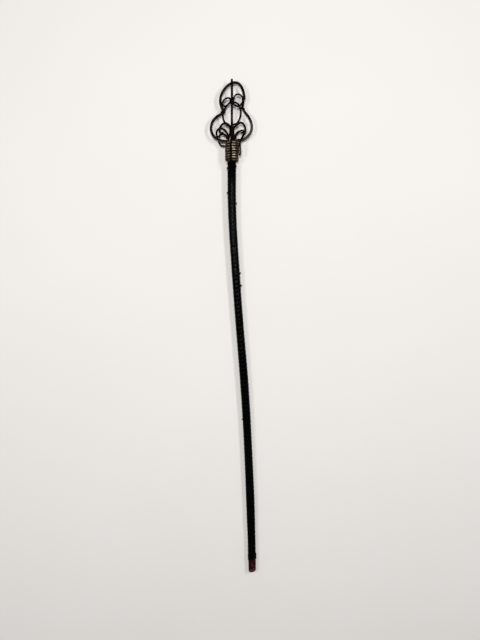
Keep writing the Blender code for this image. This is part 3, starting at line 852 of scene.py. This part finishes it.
def pole_height(y):
    """Height of the centre line above the collar's axis: a straight fall down to where the foot rests."""
    return (FOOT_Z - AXIS_Z) * ramp(-y - COLLAR_LENGTH, POLE_LENGTH - REST_LENGTH)


def round_pole(y, angle, radius):
    """Points at a distance from the pole's centre line: sideways by the cosine, upwards by the sine."""
    slope = (bend(y + 0.5) - bend(y - 0.5))
    across = 1 / np.sqrt(1 + slope ** 2)
    return np.stack([
        bend(y) + radius * np.cos(angle) * across,
        y - radius * np.cos(angle) * across * slope,
        pole_height(y) + radius * np.sin(angle)], axis=-1)


print("sideways at the foot:", round(float(bend(FOOT_Y)), 1), "mm")

# %% [markdown]
# ## The wooden pole
#
# Almost all of it is hidden. Only the last 30 mm show below the tape: a round rod with shallow grain,
# an end that is cut a little askew and a rim worn round by the floor.
# The rows are far apart under the tape and half a millimetre apart at the foot. The rim is a curve whose
# height falls as the sine of an angle while its radius shrinks by one minus the cosine.

# %% The rod's rows and radii, from the top down to the middle of its end
POLE_SIDES = 96
HIDDEN_ROWS, FOOT_ROWS = 90, 80
RIM_HEIGHT, RIM_DROP, RIM_WORN = 4.5, 4.3, 3.2
POINT_R = 0.05
shoulder = -COLLAR_LENGTH * 0.74
bite = np.radians([8, 22, 38, 54, 70, 84])
all_y = np.concatenate([
    [-POLE_TOP_BELOW, -POLE_TOP_BELOW, shoulder, shoulder - 3.0],
    np.linspace(shoulder - 8.0, FOOT_Y + 60.0, HIDDEN_ROWS),
    np.linspace(FOOT_Y + 45.0, FOOT_Y + RIM_HEIGHT, FOOT_ROWS),
    FOOT_Y + RIM_HEIGHT - RIM_DROP * np.sin(bite),
    [FOOT_Y + 0.12, FOOT_Y + 0.06, FOOT_Y]])
all_r = np.concatenate([
    [POINT_R, TENON_R, TENON_R, POLE_R],
    np.full(HIDDEN_ROWS + FOOT_ROWS, POLE_R),
    POLE_R - RIM_WORN * (1 - np.cos(bite)),
    [4.6, 2.6, POINT_R]])
print("rows of the pole:", len(all_y))

# %% Grain, chips and the askew end
y_grid, a_grid = np.meshgrid(all_y, np.arange(POLE_SIDES) * 2 * np.pi / POLE_SIDES, indexing="ij")
above_foot = y_grid - FOOT_Y
near_foot = ramp(34.0 - above_foot, 6.0)
on_side = ramp(all_r[:, None] - 3.0, 4.0) * near_foot
grain = 0.05 * np.sin(9 * a_grid + 0.10 * y_grid) + 0.04 * np.sin(23 * a_grid - 0.06 * y_grid)
grain += 0.03 * np.sin(41 * a_grid + 0.21 * y_grid)
chips = 0.30 * np.maximum(np.sin(5 * a_grid + 0.6) * np.sin(3 * a_grid + 2.0), 0)
r_grid = all_r[:, None] + grain * on_side - chips * ramp(5.5 - above_foot, 5.0) * on_side
askew = (1.1 * np.cos(a_grid) + 0.5 * np.sin(2 * a_grid + 0.5) + 0.6) * (all_r[:, None] / POLE_R)
y_foot = y_grid + askew * ramp(12.0 - above_foot, 11.0) ** 2
# The bare end is a little thicker than its solid and stands a little to the right
FOOT_THICKER = 0.05
FOOT_RIGHT = 0.8
pole_grid = round_pole(y_foot, a_grid, r_grid * (1 + FOOT_THICKER * near_foot))
pole_grid[..., 0] += FOOT_RIGHT * near_foot

# %% Where the wood is worn, bare and knotted, and where its highlight and shade are painted


def spot(way, up, width, height):
    """A soft round patch: e to the power of minus (way / width) squared minus (up / height) squared."""
    return np.exp(-(way / width) ** 2 - (up / height) ** 2)


BARE_AT, SHEEN_AT, KNOT_AT = 9.6, 18.0, 3.4
SHEEN_LEAN = 3.0
wear = ramp(14.5 - 3.0 * np.sin(a_grid + 0.6) - above_foot, 10.0) + 0.25 * chips
wear += 1.2 * spot(a_grid - np.radians(66), above_foot - BARE_AT, 0.16, 1.3)
# Painted highlight: a soft pale gleam that leans across the rod, higher up.
sheen_way = a_grid - np.radians(84 + SHEEN_LEAN * (above_foot - SHEEN_AT))
sheen = spot(sheen_way, above_foot - SHEEN_AT, 0.17, 4.4)
knot = spot(a_grid - np.radians(112), above_foot - KNOT_AT, 0.16, 1.5)
# 1 on the right of the rod, 0 on its left; the finish paints shade on the left by it.
side = (1 + np.cos(a_grid)) / 2
pole = build("pole", pole_grid, {"wear": wear, "knot": knot, "sheen": sheen, "side": side})
finish_piece(pole, wood_finish, "wooden_pole")

# %% [markdown]
# ## The wound tape
#
# The covering is one long ribbon wound round the pole from the collar down to the foot, each turn lying
# over the lower part of the turn above. So it is modelled as a ribbon and not as a painted tube:
# one direction of the grid follows the winding and the other goes round the ribbon's thin section.
# A turn lies high at its upper edge, where it covers its neighbour, and sinks by one thickness below.
# The angle along the winding fixes the height: one pitch lower for each turn, slower on the last.
# Loose bits of the edge stand out in a few places, and the free end flares on the right.

# %% Driving sizes of the tape
TAPE_WIDTH = 15.0
TAPE_PITCH = 10.0
TAPE_THICK = 0.34
TAPE_STEPS = 40
TAPE_BORE = POLE_R + 0.06
COVER_OVER = 0.12
# Share of the taped length, millimetres added to the radius
COVER_SWELL = np.array([
    (0.0, 0.55), (0.06, 0.35), (0.12, 0.20), (0.145, 0.15), (0.165, -0.10), (0.21, 0.0),
    (0.245, -0.15), (0.285, 0.10), (0.31, -0.15), (0.34, -0.25), (0.44, -0.20), (0.47, 0.0),
    (0.53, 0.15), (0.565, 0.35), (0.60, 0.10), (0.64, 0.30), (0.665, 0.0), (0.70, -0.05),
    (0.75, 0.0), (0.80, 0.05), (0.84, 0.35), (0.87, 0.25), (0.91, 0.0), (0.935, -0.45), (1.0, -0.45)])
# Loose bits: mm below the collar's edge, degrees round from the right, mm of lift, degrees of width
LOOSE_BITS = [
    (61.0, 182, 2.5, 15), (61.5, -3, 2.0, 14), (119.5, 178, 2.2, 14), (146.5, 2, 2.1, 14),
    (317.0, 4, 2.4, 14), (344.0, 6, 3.4, 15), (673.0, 176, 2.0, 14), (430.0, 52, 0.5, 12),
    (810.0, 80, 0.4, 14), (250.0, 101, 0.4, 12), (560.0, 128, 0.45, 13)]


def cover_radius(y):
    """Outer radius of the covering at a distance y, from a few swells along its length."""
    share = (COVER_TOP_Y - y) / COVER_LENGTH
    return COVER_R + COVER_OVER + np.interp(share, COVER_SWELL[:, 0], COVER_SWELL[:, 1])


# %% How the ribbon runs down the pole
FULL_TURN = 2 * np.pi
ribbon_turns = (COVER_LENGTH - TAPE_WIDTH) / TAPE_PITCH + 0.55
total_angle = ribbon_turns * FULL_TURN
phi = np.linspace(0, total_angle, int(ribbon_turns * TAPE_STEPS))
# The free end lies 8 degrees up from the right, which fixes the angle at the start
start_angle = -(total_angle % FULL_TURN) + np.radians(8)
round_phi = start_angle + phi
upper_edge = COVER_TOP_Y - TAPE_PITCH * phi / FULL_TURN
# On the last turn the upper edge stays one width above the covering's end
end_edge = COVER_END_Y + TAPE_WIDTH
last_turn = ramp(phi - (total_angle - FULL_TURN), FULL_TURN)
last_start = upper_edge[np.searchsorted(phi, total_angle - FULL_TURN)]
slower = np.interp(last_turn, [0, 0.5, 1.0], [last_start, end_edge, end_edge + 1.2])
upper_edge = np.where(last_turn > 0, slower, upper_edge)
print("turns of tape:", round(ribbon_turns, 1))

# %% The ribbon's section: down the outside from the upper edge, then back up inside
OUTSIDE_POINTS = 11
across = np.array([0.0, 0.25, 0.9, 2.0, 3.4, 4.8, 6.2, 8.0, 10.0, 12.5, 15.0, 15.0, 9.0, 3.0, 0.0])
outside = np.arange(len(across)) < OUTSIDE_POINTS
edge_round = np.zeros(len(across))
edge_round[:2] = 0.10, 0.02
overlap = TAPE_WIDTH - TAPE_PITCH
sink = ramp(across - overlap + 1.0, 2.2)
sink = sink * sink * (3 - 2 * sink)
y_tape = upper_edge[:, None] - across
wrinkle = 0.045 * np.sin(11 * round_phi[:, None] + 0.013 * y_tape)
wrinkle += 0.035 * np.sin(17 * round_phi[:, None] - 0.021 * y_tape + 1.1)
wrinkle += 0.05 * np.sin(phi[:, None] * 1.37 + across * 0.4)
covered = last_turn[:, None] <= 0
level = cover_radius(y_tape) - TAPE_THICK * sink * covered - edge_round + wrinkle

# %% Loose bits, the flared end and the ribbon itself
stand = 1.5 * np.exp(-(total_angle - phi) / 0.16)[:, None] * np.ones_like(level)
for below, degrees, height, spread in LOOSE_BITS:
    wanted = start_angle + (COVER_TOP_Y + below) / TAPE_PITCH * FULL_TURN
    nearest = wanted + (math.radians(degrees) - wanted + np.pi) % FULL_TURN - np.pi - start_angle
    bump = np.exp(-((phi - nearest) / math.radians(spread)) ** 2)
    stand += height * bump[:, None] * ramp(3.7 - across, 1.6)
raised = ramp(stand, 0.3)
under = TAPE_BORE * (1 - raised) + (np.maximum(level - 0.5, TAPE_BORE) + stand) * raised
radius_tape = np.where(outside, level + stand, np.minimum(under, level + stand - 0.12))
tape_grid = round_pole(y_tape, round_phi[:, None], radius_tape)
edge = ramp(1.3 - across, 1.3) * outside * np.ones_like(level)
tape = build("wound_tape", tape_grid, {"edge": edge, "lift": ramp(stand, 1.6)})
finish_piece(tape, tape_finish, "black_tape_covering")

# %% [markdown]
# ## Floor, light and camera
#
# The floor is a plain pale surface. A soft light hangs nearly straight above the head, so that the wires'
# shadows hide under them, and draws a faint line of sheen on the black tape. A long strip on the right and
# a weaker light on the left throw the two pale shadows beside the pole.
# The camera looks straight down. Its distance and angle are worked out from the size of the picture:
# one pixel is 2.43 mm at the staff's axis, and the picture is 640 pixels high.

# %% The floor
PALE = shade(246, 243, 240)


def floor_finish():
    """Pale, matt and very slightly uneven in tone."""
    look = Finish("pale_floor")
    tone = look.blend(look.noise(2.0, 2.0), shade(240, 236, 232), PALE)
    return look.set(Base_Color=tone, Roughness=0.9, Specular_IOR_Level=0.1)


FLOOR_SIZE = 14.0
half = FLOOR_SIZE / 2
corners = [(-half, -half, 0), (half, -half, 0), (half, half, 0), (-half, half, 0)]
floor_mesh = bpy.data.meshes.new("floor")
floor_mesh.from_pydata(corners, [], [(0, 1, 2, 3)])
floor_mesh.materials.append(floor_finish())
floor = bpy.data.objects.new("floor", floor_mesh)
bpy.context.scene.collection.objects.link(floor)
print("floor:", FLOOR_SIZE, "m wide")

# %% The lights


def soft_light(name, place_m, aim_m, width_m, power, length_m=None):
    """An area light that faces a point: a square, or a strip whose length runs along the staff."""
    data = bpy.data.lights.new(name, "AREA")
    data.shape = "RECTANGLE"
    data.size = length_m or width_m
    data.size_y = width_m
    data.energy = power
    made = bpy.data.objects.new(name, data)
    made.location = place_m
    way = np.array(aim_m, float) - np.array(place_m, float)
    flat = math.hypot(way[0], way[1])
    made.rotation_euler = (math.atan2(flat, -way[2]), 0, math.atan2(way[0], -way[1]) + math.pi)
    bpy.context.scene.collection.objects.link(made)


soft_light("overhead", (-0.04, 0.5, 2.8), (-0.04, 0.5, 0), width_m=0.5, power=42.6)
soft_light("key_right", (1.8, 0.8, 2.4), (0, 0.8, 0), width_m=0.45, power=27.0, length_m=1.4)
soft_light("fill_left", (-1.5, 0.2, 2.4), (0, 0.4, 0), width_m=0.6, power=15.6)
world = bpy.data.worlds.new("pale_surroundings")
bpy.context.scene.world = world
world.use_nodes = True
world.node_tree.nodes["Background"].inputs["Color"].default_value = PALE
world.node_tree.nodes["Background"].inputs["Strength"].default_value = 0.12
print("lights:", [light.name for light in bpy.data.lights])

# %% How the picture turns light into colour
bpy.context.scene.view_settings.view_transform = "Standard"

# %% The camera
PIXEL_MM = 2.43
PICTURE_WIDE, PICTURE_HIGH = 480, 640
AXIS_PIXEL_X, EDGE_PIXEL_Y = 231.85, 142.2
CAMERA_AWAY = 1.70
SENSOR_MM = 36.0
camera_data = bpy.data.cameras.new("camera")
camera = bpy.data.objects.new("camera", camera_data)
bpy.context.scene.collection.objects.link(camera)
bpy.context.scene.camera = camera
middle_x = HOME[0] + (PICTURE_WIDE / 2 - AXIS_PIXEL_X) * PIXEL_MM / 1000
middle_y = HOME[1] + (EDGE_PIXEL_Y - PICTURE_HIGH / 2) * PIXEL_MM / 1000
camera.location = (middle_x, middle_y, HOME[2] + CAMERA_AWAY)
camera_data.sensor_fit = "AUTO"
camera_data.sensor_width = SENSOR_MM
camera_data.lens = SENSOR_MM * CAMERA_AWAY * 1000 / (PICTURE_HIGH * PIXEL_MM)
camera_data.clip_start = 0.01
print("camera at", tuple(round(v, 3) for v in camera.location), "lens", round(camera_data.lens, 2))
